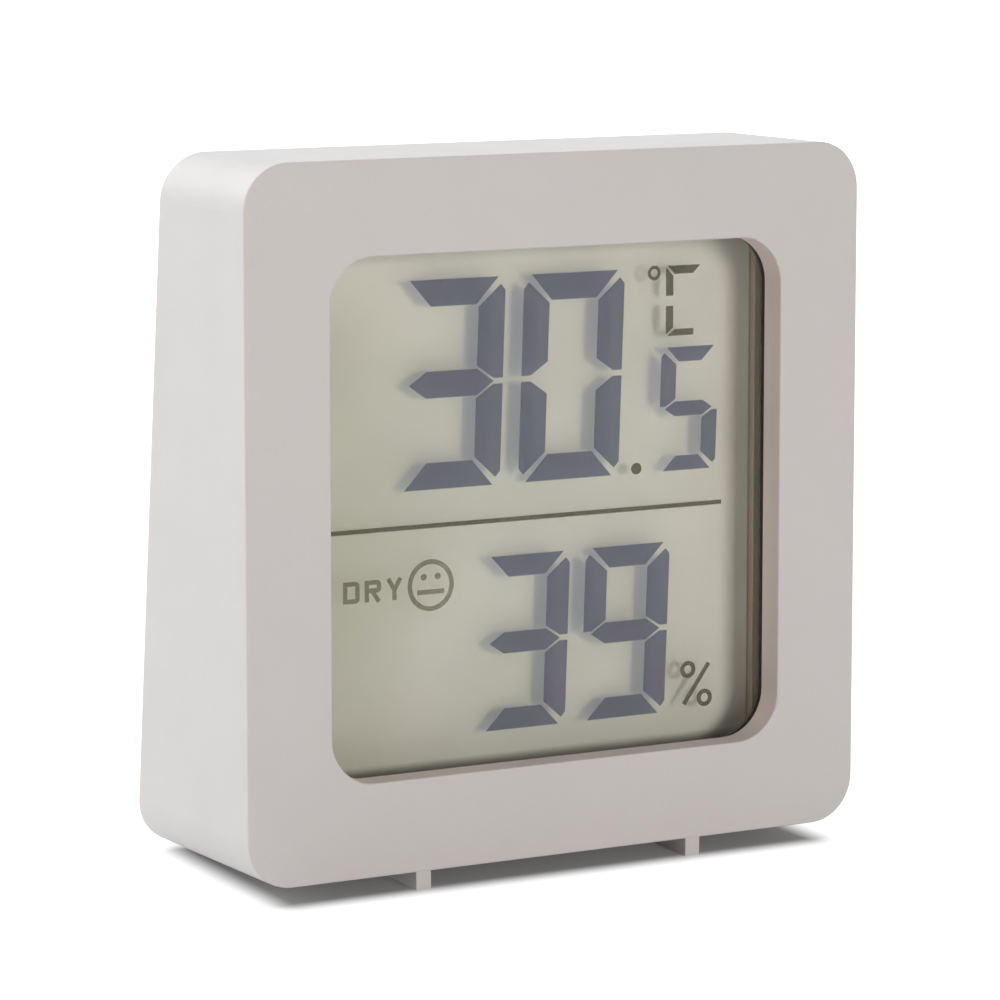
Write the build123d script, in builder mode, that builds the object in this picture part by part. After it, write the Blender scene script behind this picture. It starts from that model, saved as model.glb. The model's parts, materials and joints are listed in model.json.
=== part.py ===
from build123d import *
import os
from math import cos, hypot, radians, sin, tan

# A small square desk thermometer and humidity meter. Millimetres, +Z up, +X to the
# viewer's right and the display facing -Y. The origin is on the table, under the
# middle of the box that the object fills. The casing leans back a little on two
# runners, so its pieces are drawn on the leaning front face, whose own up direction
# is called rise here, and placed by their depth behind that face.

os.makedirs("parts", exist_ok=True)

# Casing, from outside
width = 47.0
height = 47.3
base_depth = 17.0
rear_angle = 5.87
corner_radius = 3.2
lean = 2.4
edge_round = 0.12
rear_edge_round = 0.25

# Runners under the casing
runner_height = 1.25
runner_width = 1.1
runner_spacing = 21.0
runner_setback = 0.1
runner_end_gap = 0.4

# Window in the front
side_margin = 6.2
end_margin = 6.3
window_radius = 3.2
recess_depth = 2.13

# Walls and clearances
wall = 1.5
plate_thickness = 1.6
cover_thickness = 1.6
cover_gap = 0.12
fit_gap = 0.05
running_gap = 0.1
rim_width = 0.9

# Display stack, front to back
adhesive_thickness = 0.1
lens_overlap = 1.0
lens_thickness = 0.6
gasket_thickness = 0.2
gasket_setback = 0.2
polarizer_thickness = 0.15
polarizer_overlap = 1.1
glass_overlap = 1.2
glass_thickness = 1.1
contact_ledge = 1.8
ledge_drop = 2.9
segment_thickness = 0.04
segment_gap = 0.01
film_gap = 0.25
glass_seal_width = 0.6
reflector_thickness = 0.1
frame_floor = 0.8
frame_wall = 0.4
frame_boss_gap = 0.25
strip_width = 1.5
strip_inset = 0.15
strip_length_margin = 1.7

# Pattern on the display, drawn for a window of this size and scaled with it
pattern_width = 34.6
pattern_height = 34.7
pattern_shift = (0.06, -0.08)
digit_slant = 2.0
mitre_shift = 0.2
corner_nick = 0.18
tip_inset = 0.35
temperature_digit = (7.85, 14.0, 1.78, 2.0)
tenths_digit = (4.6, 8.5, 1.0, 1.2)
humidity_digit = (6.68, 11.88, 1.44, 1.72)
temperature_places = (-10.03, -0.73)
temperature_base = 1.26
tenths_place = (10.2, 1.25)
humidity_places = (-3.79, 4.16)
humidity_base = -15.53
point_place = (8.33, 1.58)
point_radius = 0.4
divider_rise = -1.18
divider_size = (30.4, 0.3)
degree_place = (9.7, 14.91)
degree_radius = 0.5
degree_stroke = 0.22
celsius_place = (10.65, 10.55)
celsius_size = (2.72, 4.8)
celsius_stroke = (0.57, 0.45)
celsius_mitre = 0.12
celsius_foot = 2.2
celsius_break = 0.7
percent_place = (13.26, -13.77)
percent_ring = 0.61
percent_spread = (0.68, 1.04)
percent_stroke = (0.3, 0.31)
percent_slash = (2.0, 2.75)
face_place = (-7.71, -5.18)
face_radius = 1.75
face_stroke = 0.32
eye_radius = 0.22
eye_place = (0.53, 0.58)
mouth_width = 2.04
mouth_drop = 0.45
word_left = -14.32
word_base = -5.96
letter_size = (1.22, 1.46)
letter_pitch = 1.62
letter_stroke = 0.3
bowl_height = 0.85
leg_height = 0.64
fork_height = 0.68

# Circuit board and what is on it
board_thickness = 0.8
board_gap = 0.3
post_gap = 0.1
post_radius = 1.3
blob_radius = 3.6
blob_height = 1.1
blob_round = 1.0
blob_place = (-4.2, 37.6)
sensor_size = (2.5, 2.5, 0.9)
sensor_port_radius = 0.5
sensor_port_depth = 0.3
crystal_size = (1.5, 3.2, 0.8)
crystal_place = (15.5, 33.0)
crystal_round = 0.35
capacitor_size = (2.0, 1.25, 0.9)
capacitor_place = (-8.5, 8.0)
capacitor_pitch = 3.0
capacitor_count = 4
resistor_size = (0.8, 1.6, 0.5)
resistor_place = (9.0, 8.0)
resistor_pitch = 2.0
resistor_count = 5

# Screws
boss_inset = 3.6
boss_gap = 0.2
boss_radius = 1.5
screw_radius = 0.6
screw_clearance = 0.2
case_screw_length = 6.0
board_screw_length = 4.0
screw_tip_room = 0.4
head_radius = 1.2
head_height = 0.7
head_round = 0.25
head_sink = 1.0
head_gap = 0.15
cross_size = (1.3, 0.32)
cross_depth = 0.4

# Battery and its compartment
cell_radius = 10.0
cell_height = 3.2
cell_cap_radius = 8.8
cell_cap_height = 0.2
cell_gap = 0.3
door_margin = 3.3
door_ledge = 1.3
door_thickness = 1.2
door_ring = (7.0, 8.0)
door_ring_height = 0.15
spring_room = 0.4
bay_floor = 0.9
bay_wall = 0.8
lug_count = 3
lug_length = 0.85
lug_sweep = 16.0
lug_angle = 60.0
lug_cover = 0.55
door_turn = 40.0
turn_margin = 1.0
coin_slot = (13.0, 1.9)
coin_slot_depth = 0.7
arrow_size = 1.4
arrow_depth = 0.2

# Battery contacts
contact_thickness = 0.2
contact_width = 4.0
contact_gap = (0.2, 0.5)
contact_foot = 2.6
leaf_half = 7.0
leaf_crown = (1.2, 3.5)
blade_drop = 0.5

# Vent and unit button
vent_shift = (-5.5, -0.25)
vent_slot = (12.0, 1.2)
vent_pitch = 2.2
vent_count = 5
button_side = 12.0
button_radius = 2.5
button_flange = (0.8, 0.7)
button_stem_radius = 1.2
button_proud = 0.4
button_travel = 0.3
switch_size = (4.5, 1.6)
plunger_radius = 0.9
plunger_proud = 0.6
plunger_root = 0.65
touch_gap = 0.03

# Sizes that follow
rear_slope = tan(radians(rear_angle))
middle = height / 2
middle_depth = base_depth - middle * rear_slope
inner_width = width - 2 * wall
inner_height = height - 2 * wall
inner_radius = corner_radius - wall
window_width = width - 2 * side_margin
window_height = height - 2 * end_margin
pattern_scale = min(window_width / pattern_width, window_height / pattern_height)

lens_back = recess_depth + lens_thickness
gasket_back = lens_back + gasket_thickness
glass_front = gasket_back + polarizer_thickness
front_glass_back = glass_front + glass_thickness
segments_front = front_glass_back + segment_gap
rear_glass_front = segments_front + segment_thickness + segment_gap
rear_film_front = rear_glass_front + glass_thickness
reflector_front = rear_film_front + polarizer_thickness + film_gap
reflector_back = reflector_front + reflector_thickness
board_front = reflector_back + frame_floor
board_back = board_front + board_thickness

glass_top = height - end_margin + glass_overlap
front_glass_base = end_margin - ledge_drop
rear_glass_base = front_glass_base + contact_ledge
glass_width = window_width + 2 * glass_overlap
rear_glass_height = glass_top - rear_glass_base
rear_glass_place = (0, (glass_top + rear_glass_base) / 2)

cell_bore = cell_radius + cell_gap
door_radius = cell_bore + door_ledge
door_bore = door_radius + running_gap
groove_radius = door_radius + lug_length + running_gap
door_seat = door_thickness + running_gap
cell_top = door_thickness + door_ring_height + fit_gap
bay_depth = cell_top + cell_height + spring_room
collar_depth = bay_depth + bay_floor
collar_radius = groove_radius + bay_wall
door_drop = middle - door_margin - collar_radius
contact_slot = (contact_width + 2 * contact_gap[0], contact_thickness + 2 * contact_gap[1])

# The vent and the button lie between the battery bay and the top wall
vent_rise = (middle - wall + collar_radius - door_drop) / 2 + vent_shift[1]
vent_centre = (vent_shift[0], vent_rise)
button_place = (button_side, vent_rise)

# Bosses and posts stand beside the glass and its tray
tray_gap = fit_gap + frame_wall
boss_x = glass_width / 2 + boss_gap + boss_radius
post_x = glass_width / 2 + tray_gap + post_gap + post_radius
boss_places = [
    (side * boss_x, rise)
    for side in (-1, 1)
    for rise in (boss_inset, height - boss_inset)
]
post_places = [(side * post_x, middle) for side in (-1, 1)]

seal_size = (window_width + 2 * lens_overlap, window_height + 2 * lens_overlap)
seal_radius = window_radius + lens_overlap

# The leaning front face: X to the right, Y up along the face, Z towards the viewer
face = Plane(
    origin=(0, -base_depth * cos(radians(lean)) / 2, runner_height),
    x_dir=(1, 0, 0),
    z_dir=(0, -cos(radians(lean)), sin(radians(lean))),
)

# The casing's section: X is the depth behind the front face, Y the rise along it
section = Plane(origin=face.origin, x_dir=-face.z_dir, z_dir=(1, 0, 0))

# The sloping rear face, seen from behind, with its origin half way up
rear = Plane(
    origin=face.from_local_coords((0, middle, -middle_depth)),
    x_dir=(-1, 0, 0),
    z_dir=face.y_dir * rear_slope - face.z_dir,
)
door_plane = Plane(
    origin=rear.from_local_coords((0, -door_drop, 0)),
    x_dir=(-1, 0, 0),
    z_dir=rear.z_dir,
)


def rear_depth(rise):
    """Depth of the rear face at a rise along the front face."""
    return base_depth - rise * rear_slope


def from_door(up, out):
    """Depth and rise of a point given on the door's plane by its way up and out."""
    along = up - door_drop
    slope = radians(rear_angle)
    return (
        middle_depth - along * sin(slope) + out * cos(slope),
        middle + along * cos(slope) + out * sin(slope),
    )


def from_rear(place):
    """Place on the front face of a point of the rear face, seen from behind."""
    return (-place[0], middle + place[1] * cos(radians(rear_angle)))


def runner_foot(depth):
    """Rise of the table under the casing at a depth, which is negative."""
    return (depth * sin(radians(lean)) - runner_height) / cos(radians(lean))


def rounded_slab(size, centre_rise, radius, depth, thickness, mode=Mode.ADD):
    """Adds or cuts a rounded rectangle from a depth backwards."""
    with BuildSketch(face.offset(-depth)) as outline:
        with Locations((0, centre_rise)):
            RectangleRounded(size[0], size[1], radius)
    extrude(outline.sketch, amount=-thickness, mode=mode)


def slab(size, centre, depth, thickness, mode=Mode.ADD):
    """Adds or cuts a plain rectangle from a depth backwards."""
    with BuildSketch(face.offset(-depth)) as outline:
        with Locations(centre):
            Rectangle(size[0], size[1])
    extrude(outline.sketch, amount=-thickness, mode=mode)


def rods(radius, places, depth, thickness, mode=Mode.ADD):
    """Adds or cuts round rods from a depth backwards."""
    with BuildSketch(face.offset(-depth)) as outline:
        with Locations(*places):
            Circle(radius)
    extrude(outline.sketch, amount=-thickness, mode=mode)


def ring_sector(inner, outer, start, sweep):
    """Draws one sector of a ring about the sketch's origin."""
    with BuildLine() as outline:
        rim = CenterArc((0, 0), outer, start, sweep)
        hub = CenterArc((0, 0), inner, start, sweep)
        Line(rim @ 0, hub @ 0)
        Line(rim @ 1, hub @ 1)
    make_face(outline.line.edges())


def ribbon(points, thickness):
    """Outline of a bent strip of constant thickness about a line of points."""
    sides = ([], [])
    for index, (x, y) in enumerate(points):
        before = points[max(index - 1, 0)]
        after = points[min(index + 1, len(points) - 1)]
        first = (x - before[0], y - before[1]) if index else (after[0] - x, after[1] - y)
        last = (after[0] - x, after[1] - y) if index < len(points) - 1 else first
        a = (-first[1] / hypot(*first), first[0] / hypot(*first))
        b = (-last[1] / hypot(*last), last[0] / hypot(*last))
        reach = thickness / 2 / (1 + a[0] * b[0] + a[1] * b[1])
        step = ((a[0] + b[0]) * reach, (a[1] + b[1]) * reach)
        sides[0].append((x + step[0], y + step[1]))
        sides[1].append((x - step[0], y - step[1]))
    return sides[0] + sides[1][::-1]


def bar(start, end, stroke):
    """Draws a straight stroke with square ends."""
    Polygon(*ribbon([start, end], stroke), align=None)


def ring(centre, radius, stroke):
    """Draws a ring whose outer edge has the radius."""
    with BuildSketch(mode=Mode.PRIVATE) as hoop:
        with Locations(centre):
            Circle(radius)
            Circle(radius - stroke, mode=Mode.SUBTRACT)
    add(hoop.sketch)


def segment_outlines(size):
    """Outlines of the seven bars of a digit, from its lower left corner."""
    w, h, flat, upright = size
    half = h / 2
    nick = upright * corner_nick
    tip = upright * tip_inset
    top = [
        (mitre_shift + nick, h),
        (w - mitre_shift - nick, h),
        (w - upright - mitre_shift, h - flat),
        (upright + mitre_shift, h - flat),
    ]
    upper_left = [
        (0, h - mitre_shift - 2 * nick),
        (nick, h - mitre_shift - nick * flat / upright),
        (upright, h - flat - mitre_shift),
        (upright, half + flat / 2 + mitre_shift),
        (tip, half + mitre_shift),
        (0, half + mitre_shift),
    ]
    across = [
        (tip, half),
        (upright, half + flat / 2),
        (w - upright, half + flat / 2),
        (w - tip, half),
        (w - upright, half - flat / 2),
        (upright, half - flat / 2),
    ]
    upper_right = [(w - x, y) for x, y in upper_left]
    return {
        "top": top,
        "upper_left": upper_left,
        "upper_right": upper_right,
        "across": across,
        "lower_left": [(x, h - y) for x, y in upper_left],
        "lower_right": [(x, h - y) for x, y in upper_right],
        "bottom": [(x, h - y) for x, y in top],
    }


lit_bars = {
    "0": ("top", "upper_left", "upper_right", "lower_left", "lower_right", "bottom"),
    "3": ("top", "upper_right", "across", "lower_right", "bottom"),
    "5": ("top", "upper_left", "across", "lower_right", "bottom"),
    "9": ("top", "upper_left", "upper_right", "across", "lower_right", "bottom"),
}


def draw_digit(figure, size, corner):
    """Draws the lit bars of one figure, leaning by the slant."""
    outlines = segment_outlines(size)
    for name in lit_bars[figure]:
        leaning = [
            (corner[0] + x + (y - size[1] / 2) * tan(radians(digit_slant)), corner[1] + y)
            for x, y in outlines[name]
        ]
        Polygon(*leaning, align=None)


def celsius_outlines():
    """Outlines of the four bars of the C, whose lower bar is shorter and thinner."""
    x, y = celsius_place
    wide, tall = celsius_size
    stroke, thin = celsius_stroke
    top = y + tall
    half = y + tall / 2
    inner = x + stroke
    corner = x + celsius_mitre
    end = x + wide
    foot = x + celsius_foot
    return [
        [(corner, top), (end, top), (end - stroke, top - stroke), (inner + celsius_mitre, top - stroke)],
        [
            (x, top - celsius_mitre),
            (x, half + celsius_break / 2),
            (inner, half + celsius_break / 2),
            (inner, top - celsius_mitre - stroke),
        ],
        [
            (x, y + celsius_mitre),
            (x, half - celsius_break / 2),
            (inner, half - celsius_break / 2),
            (inner, y + celsius_mitre + thin),
        ],
        [(corner, y), (foot, y), (foot, y + thin), (inner + celsius_mitre, y + thin)],
    ]


def raise_pattern(drawing):
    """Puts a drawn pattern between the two glasses, scaled to the window."""
    with BuildSketch(face.offset(-segments_front)) as pattern:
        with Locations((pattern_shift[0], middle + pattern_shift[1])):
            add(scale(drawing.sketch, by=pattern_scale, mode=Mode.PRIVATE))
    extrude(pattern.sketch, amount=-segment_thickness)


# Space that the rear cover closes, cut out of the casing
with BuildPart() as cover_seat:
    rounded_slab((inner_width, inner_height), middle, inner_radius, 0, base_depth)
    split(bisect_by=rear.offset(-cover_thickness), keep=Keep.TOP)

# Front housing: front plate, side walls, runners, bosses and posts in one moulding
boss_web = (inner_width / 2 - boss_x, boss_inset - wall)
with BuildPart() as front_housing:
    rounded_slab((width, height), middle, corner_radius, 0, base_depth)
    split(bisect_by=rear, keep=Keep.BOTTOM)
    fillet(front_housing.faces().sort_by(Axis(face.origin, face.z_dir))[-1].edges(), edge_round)
    fillet(front_housing.faces().sort_by(Axis(rear.origin, rear.z_dir))[-1].edges(), rear_edge_round)
    with BuildSketch(face.offset(-plate_thickness)):
        with Locations((0, middle)):
            RectangleRounded(inner_width, inner_height, inner_radius)
        with Locations(*boss_places):
            Circle(boss_radius, mode=Mode.SUBTRACT)
        for x, rise in boss_places:
            outward = 1 if x > 0 else -1
            upward = 1 if rise > middle else -1
            with Locations((x + outward * boss_web[0] / 2, rise + upward * boss_web[1] / 2)):
                Rectangle(boss_web[0], boss_web[1], mode=Mode.SUBTRACT)
    extrude(amount=-base_depth, mode=Mode.SUBTRACT)
    add(cover_seat.part, mode=Mode.SUBTRACT)
    # Raised rim that carries the clear window
    rim_size = (window_width + 2 * rim_width, window_height + 2 * rim_width)
    rim_rise = recess_depth - adhesive_thickness - plate_thickness
    rounded_slab(rim_size, middle, window_radius + rim_width, plate_thickness, rim_rise)
    # Window opening
    rounded_slab((window_width, window_height), middle, window_radius, 0, recess_depth, Mode.SUBTRACT)
    fillet(
        front_housing.faces().sort_by(Axis(face.origin, face.z_dir))[-1].inner_wires().edges(),
        edge_round,
    )
    # Posts for the circuit board and screw holes
    rods(post_radius, post_places, plate_thickness, board_front - plate_thickness)
    rods(
        screw_radius,
        post_places,
        board_back - board_screw_length - screw_tip_room,
        board_screw_length,
        Mode.SUBTRACT,
    )
    for x, rise in boss_places:
        hole_end = rear_depth(rise) - head_sink - case_screw_length - screw_tip_room
        rods(screw_radius, [(x, rise)], hole_end, base_depth, Mode.SUBTRACT)
    # Two runners, level underneath although the casing leans
    runner_back = base_depth - runner_end_gap
    for side in (-1, 1):
        with BuildSketch(section.offset(side * runner_spacing / 2)):
            with BuildLine():
                Polyline(
                    (runner_setback, wall / 2),
                    (runner_setback, runner_foot(runner_setback)),
                    (runner_back, runner_foot(runner_back)),
                    (runner_back, wall / 2),
                    close=True,
                )
            make_face()
        extrude(amount=runner_width / 2, both=True)
front_housing.part.label = "front_housing"

# Rear cover: a plate let into the casing, with the battery bay behind a round opening
with BuildPart() as rear_cover:
    cover_size = (inner_width - 2 * cover_gap, inner_height - 2 * cover_gap)
    rounded_slab(cover_size, middle, inner_radius - cover_gap, 0, base_depth)
    split(bisect_by=rear, keep=Keep.BOTTOM)
    split(bisect_by=rear.offset(-cover_thickness), keep=Keep.TOP)
    with BuildSketch(door_plane):
        Circle(collar_radius)
    extrude(amount=-collar_depth)
    with BuildSketch(door_plane):
        Circle(door_bore)
    extrude(amount=-door_seat, mode=Mode.SUBTRACT)
    with BuildSketch(door_plane):
        Circle(cell_bore)
    extrude(amount=-bay_depth, mode=Mode.SUBTRACT)
    # Entries and grooves in which the door's lugs turn
    notch_start = lug_angle + door_turn - lug_sweep / 2 - turn_margin
    notch_sweep = lug_sweep + 2 * turn_margin
    groove_start = lug_angle - lug_sweep / 2 - turn_margin
    with BuildSketch(door_plane):
        for turn in range(lug_count):
            ring_sector(door_radius, groove_radius, notch_start + turn * 360 / lug_count, notch_sweep)
    extrude(amount=-door_seat, mode=Mode.SUBTRACT)
    with BuildSketch(door_plane.offset(-lug_cover)):
        for turn in range(lug_count):
            ring_sector(
                door_radius,
                groove_radius,
                groove_start + turn * 360 / lug_count,
                notch_sweep + door_turn,
            )
    extrude(amount=lug_cover - door_seat, mode=Mode.SUBTRACT)
    # Slots in the bay for the two contacts
    with BuildSketch(door_plane):
        with Locations((0, cell_radius + contact_thickness / 2), (0, -leaf_half)):
            Rectangle(*contact_slot)
    extrude(amount=-collar_depth - wall, mode=Mode.SUBTRACT)
    # Vent slots in front of the sensor
    with BuildSketch(rear):
        with Locations(vent_centre):
            with GridLocations(0, vent_pitch, 1, vent_count):
                SlotOverall(vent_slot[0], vent_slot[1])
    extrude(amount=-2 * cover_thickness, mode=Mode.SUBTRACT)
    # Button hole and screw holes
    rods(button_radius + running_gap, [from_rear(button_place)], board_back, base_depth, Mode.SUBTRACT)
    rods(screw_radius + screw_clearance, boss_places, board_back, base_depth, Mode.SUBTRACT)
    for x, rise in boss_places:
        seat = rear_depth(rise) - head_sink
        rods(head_radius + head_gap, [(x, rise)], seat, base_depth, Mode.SUBTRACT)
rear_cover.part.label = "rear_cover"

# Battery door: a disc with a coin slot and three lugs
with BuildPart() as battery_door:
    with BuildSketch(door_plane):
        Circle(door_radius)
    extrude(amount=-door_thickness)
    with BuildSketch(door_plane.offset(-lug_cover - fit_gap)):
        for turn in range(lug_count):
            ring_sector(
                door_radius - lug_length,
                door_radius + lug_length,
                lug_angle - lug_sweep / 2 + turn * 360 / lug_count,
                lug_sweep,
            )
    extrude(amount=lug_cover + fit_gap - door_thickness)
    # Ring underneath that keeps the cell down
    with BuildSketch(door_plane.offset(-door_thickness)):
        Circle(door_ring[1])
        Circle(door_ring[0], mode=Mode.SUBTRACT)
    extrude(amount=-door_ring_height)
    with BuildSketch(door_plane):
        SlotOverall(coin_slot[0], coin_slot[1])
    extrude(amount=-coin_slot_depth, mode=Mode.SUBTRACT)
    # Small mark that shows how far the door is turned
    with BuildSketch(door_plane):
        with PolarLocations(door_radius - arrow_size, 1, start_angle=90):
            RegularPolygon(arrow_size / 2, 3)
    extrude(amount=-arrow_depth, mode=Mode.SUBTRACT)
battery_door.part.label = "battery_door"

# Adhesive ring between the rim and the clear window
with BuildPart() as window_adhesive:
    rounded_slab(
        rim_size, middle, window_radius + rim_width, recess_depth - adhesive_thickness, adhesive_thickness
    )
    rounded_slab(
        (window_width + 2 * gasket_setback, window_height + 2 * gasket_setback),
        middle,
        window_radius + gasket_setback,
        recess_depth - adhesive_thickness,
        adhesive_thickness,
        Mode.SUBTRACT,
    )
window_adhesive.part.label = "window_adhesive"

# Clear window
with BuildPart() as display_window:
    rounded_slab(seal_size, middle, seal_radius, recess_depth, lens_thickness)
display_window.part.label = "display_window"

# Dark foam ring between the window and the display
with BuildPart() as display_gasket:
    rounded_slab(seal_size, middle, seal_radius, lens_back, gasket_thickness)
    rounded_slab(
        (window_width + 2 * gasket_setback, window_height + 2 * gasket_setback),
        middle,
        window_radius + gasket_setback,
        lens_back,
        gasket_thickness,
        Mode.SUBTRACT,
    )
display_gasket.part.label = "display_gasket"

# Front polarizing film
film_size = (window_width + 2 * polarizer_overlap, window_height + 2 * polarizer_overlap)
with BuildPart() as front_polarizer:
    slab(film_size, (0, middle), gasket_back, polarizer_thickness)
front_polarizer.part.label = "front_polarizer"

# Front glass, which reaches lower than the rear glass to carry the contact pads
with BuildPart() as front_glass:
    slab(
        (glass_width, glass_top - front_glass_base),
        (0, (glass_top + front_glass_base) / 2),
        glass_front,
        glass_thickness,
    )
front_glass.part.label = "front_glass"

# Seal round the liquid between the two glasses
with BuildPart() as glass_seal:
    slab(
        (glass_width, rear_glass_height),
        rear_glass_place,
        segments_front,
        segment_thickness,
    )
    slab(
        (glass_width - 2 * glass_seal_width, rear_glass_height - 2 * glass_seal_width),
        rear_glass_place,
        segments_front,
        segment_thickness,
        Mode.SUBTRACT,
    )
glass_seal.part.label = "glass_seal"

# Rear glass
with BuildPart() as rear_glass:
    slab(
        (glass_width, rear_glass_height),
        rear_glass_place,
        rear_glass_front,
        glass_thickness,
    )
rear_glass.part.label = "rear_glass"

# Rear polarizing film
with BuildPart() as rear_polarizer:
    slab(film_size, (0, middle), rear_film_front, polarizer_thickness)
rear_polarizer.part.label = "rear_polarizer"

# Reflecting film behind it, which gives the display its ground
with BuildPart() as reflector:
    slab(film_size, (0, middle), reflector_front, reflector_thickness)
reflector.part.label = "reflector"

# Temperature figures
with BuildSketch() as temperature_drawing:
    for figure, left in zip("30", temperature_places):
        draw_digit(figure, temperature_digit, (left, temperature_base))
    draw_digit("5", tenths_digit, tenths_place)
with BuildPart() as temperature_digits:
    raise_pattern(temperature_drawing)
temperature_digits.part.label = "temperature_digits"

# Humidity figures
with BuildSketch() as humidity_drawing:
    for figure, left in zip("39", humidity_places):
        draw_digit(figure, humidity_digit, (left, humidity_base))
with BuildPart() as humidity_digits:
    raise_pattern(humidity_drawing)
humidity_digits.part.label = "humidity_digits"

# Line between the two readings
with BuildSketch() as divider_drawing:
    with Locations((0, divider_rise)):
        Rectangle(*divider_size)
with BuildPart() as divider_line:
    raise_pattern(divider_drawing)
divider_line.part.label = "divider_line"

# Decimal point, degree, C and percent signs
with BuildSketch() as unit_drawing:
    with Locations(point_place):
        Circle(point_radius)
    ring(degree_place, degree_radius, degree_stroke)
    for outline in celsius_outlines():
        Polygon(*outline, align=None)
    x, y = percent_place
    ring((x - percent_spread[0], y + percent_spread[1]), percent_ring, percent_stroke[0])
    ring((x + percent_spread[0], y - percent_spread[1]), percent_ring, percent_stroke[0])
    bar(
        (x - percent_slash[0] / 2, y - percent_slash[1] / 2),
        (x + percent_slash[0] / 2, y + percent_slash[1] / 2),
        percent_stroke[1],
    )
with BuildPart() as unit_signs:
    raise_pattern(unit_drawing)
unit_signs.part.label = "unit_signs"

# Plain straight-mouthed comfort symbol
with BuildSketch() as symbol_drawing:
    x, y = face_place
    ring(face_place, face_radius, face_stroke)
    with Locations((x - eye_place[0], y + eye_place[1]), (x + eye_place[0], y + eye_place[1])):
        Circle(eye_radius)
    bar((x - mouth_width / 2, y - mouth_drop), (x + mouth_width / 2, y - mouth_drop), face_stroke)
with BuildPart() as comfort_symbol:
    raise_pattern(symbol_drawing)
comfort_symbol.part.label = "comfort_symbol"

# State word
with BuildSketch() as word_drawing:
    wide, tall = letter_size
    half = letter_stroke / 2
    starts = [word_left + place * letter_pitch for place in range(3)]
    # D
    with Locations((starts[0] + wide / 2, word_base + tall / 2)):
        RectangleRounded(wide, tall, letter_stroke)
        Rectangle(wide - 2 * letter_stroke, tall - 2 * letter_stroke, mode=Mode.SUBTRACT)
    bar((starts[0] + half, word_base), (starts[0] + half, word_base + tall), letter_stroke)
    # R
    with Locations((starts[1] + wide / 2, word_base + tall - bowl_height / 2)):
        RectangleRounded(wide, bowl_height, letter_stroke)
        Rectangle(wide - 2 * letter_stroke, bowl_height - 2 * letter_stroke, mode=Mode.SUBTRACT)
    bar((starts[1] + half, word_base), (starts[1] + half, word_base + tall), letter_stroke)
    bar((starts[1] + wide / 2, word_base + leg_height), (starts[1] + wide - half, word_base), letter_stroke)
    # Y
    fork = (starts[2] + wide / 2, word_base + fork_height)
    bar((starts[2] + half, word_base + tall), fork, letter_stroke)
    bar((starts[2] + wide - half, word_base + tall), fork, letter_stroke)
    bar((fork[0], word_base), (fork[0], fork[1] + half), letter_stroke)
with BuildPart() as state_word:
    raise_pattern(word_drawing)
state_word.part.label = "state_word"

# Tray that holds the glass stack against the window, with a slot for the contact strip
with BuildPart() as display_frame:
    slab(
        (glass_width + 2 * tray_gap, glass_top - front_glass_base + 2 * tray_gap),
        (0, (glass_top + front_glass_base) / 2),
        gasket_back,
        board_front - gasket_back,
    )
    slab(
        (glass_width + 2 * fit_gap, glass_top - front_glass_base + 2 * fit_gap),
        (0, (glass_top + front_glass_base) / 2),
        gasket_back,
        reflector_back - gasket_back,
        Mode.SUBTRACT,
    )
    slab(
        (window_width - 2 * frame_wall, window_height - 4 * frame_wall),
        (0, middle),
        reflector_back,
        frame_floor,
        Mode.SUBTRACT,
    )
    strip_centre = front_glass_base + strip_inset + strip_width / 2
    slab(
        (glass_width - 2 * strip_length_margin + 2 * fit_gap, strip_width + 2 * fit_gap),
        (0, strip_centre),
        reflector_back,
        frame_floor,
        Mode.SUBTRACT,
    )
    rods(boss_radius + frame_boss_gap, boss_places, gasket_back, board_front - gasket_back, Mode.SUBTRACT)
display_frame.part.label = "display_frame"

# Rubber strip with conducting layers between the front glass and the board
with BuildPart() as contact_strip:
    slab(
        (glass_width - 2 * strip_length_margin, strip_width),
        (0, strip_centre),
        front_glass_back,
        board_front - front_glass_back,
    )
contact_strip.part.label = "contact_strip"

# Circuit board with notched corners round the bosses
notch = [web + boss_radius + board_gap for web in boss_web]
notch_shift = [side / 2 - boss_radius - board_gap for side in notch]
with BuildPart() as circuit_board:
    slab(
        (inner_width - 2 * board_gap, inner_height - 2 * board_gap),
        (0, middle),
        board_front,
        board_thickness,
    )
    with BuildSketch(face.offset(-board_front)):
        for x, rise in boss_places:
            outward = 1 if x > 0 else -1
            upward = 1 if rise > middle else -1
            with Locations((x + outward * notch_shift[0], rise + upward * notch_shift[1])):
                Rectangle(notch[0], notch[1])
    extrude(amount=-board_thickness, mode=Mode.SUBTRACT)
    rods(screw_radius + screw_clearance, post_places, board_front, board_thickness, Mode.SUBTRACT)
circuit_board.part.label = "circuit_board"

# Controller chip under its drop of resin
with BuildPart() as controller_blob:
    rods(blob_radius, [blob_place], board_back, blob_height)
    fillet(controller_blob.faces().sort_by(Axis(face.origin, -face.z_dir))[-1].edges(), blob_round)
controller_blob.part.label = "controller_blob"

# Temperature and humidity sensor, open towards the vent
sensor_place = from_rear(vent_centre)
with BuildPart() as sensor:
    slab(sensor_size[:2], sensor_place, board_back, sensor_size[2])
    port_floor = board_back + sensor_size[2] - sensor_port_depth
    rods(sensor_port_radius, [sensor_place], port_floor, sensor_port_depth, Mode.SUBTRACT)
sensor.part.label = "sensor"

# Timing crystal in its metal can
with BuildPart() as crystal:
    slab(crystal_size[:2], crystal_place, board_back, crystal_size[2])
    fillet(crystal.edges().filter_by(Axis(face.origin, face.z_dir)), crystal_round)
crystal.part.label = "crystal"

# Capacitors and resistors, each a row
with BuildPart() as capacitors:
    for place in range(capacitor_count):
        centre = (capacitor_place[0] - place * capacitor_pitch, capacitor_place[1])
        slab(capacitor_size[:2], centre, board_back, capacitor_size[2])
capacitors.part.label = "capacitors"

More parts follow.
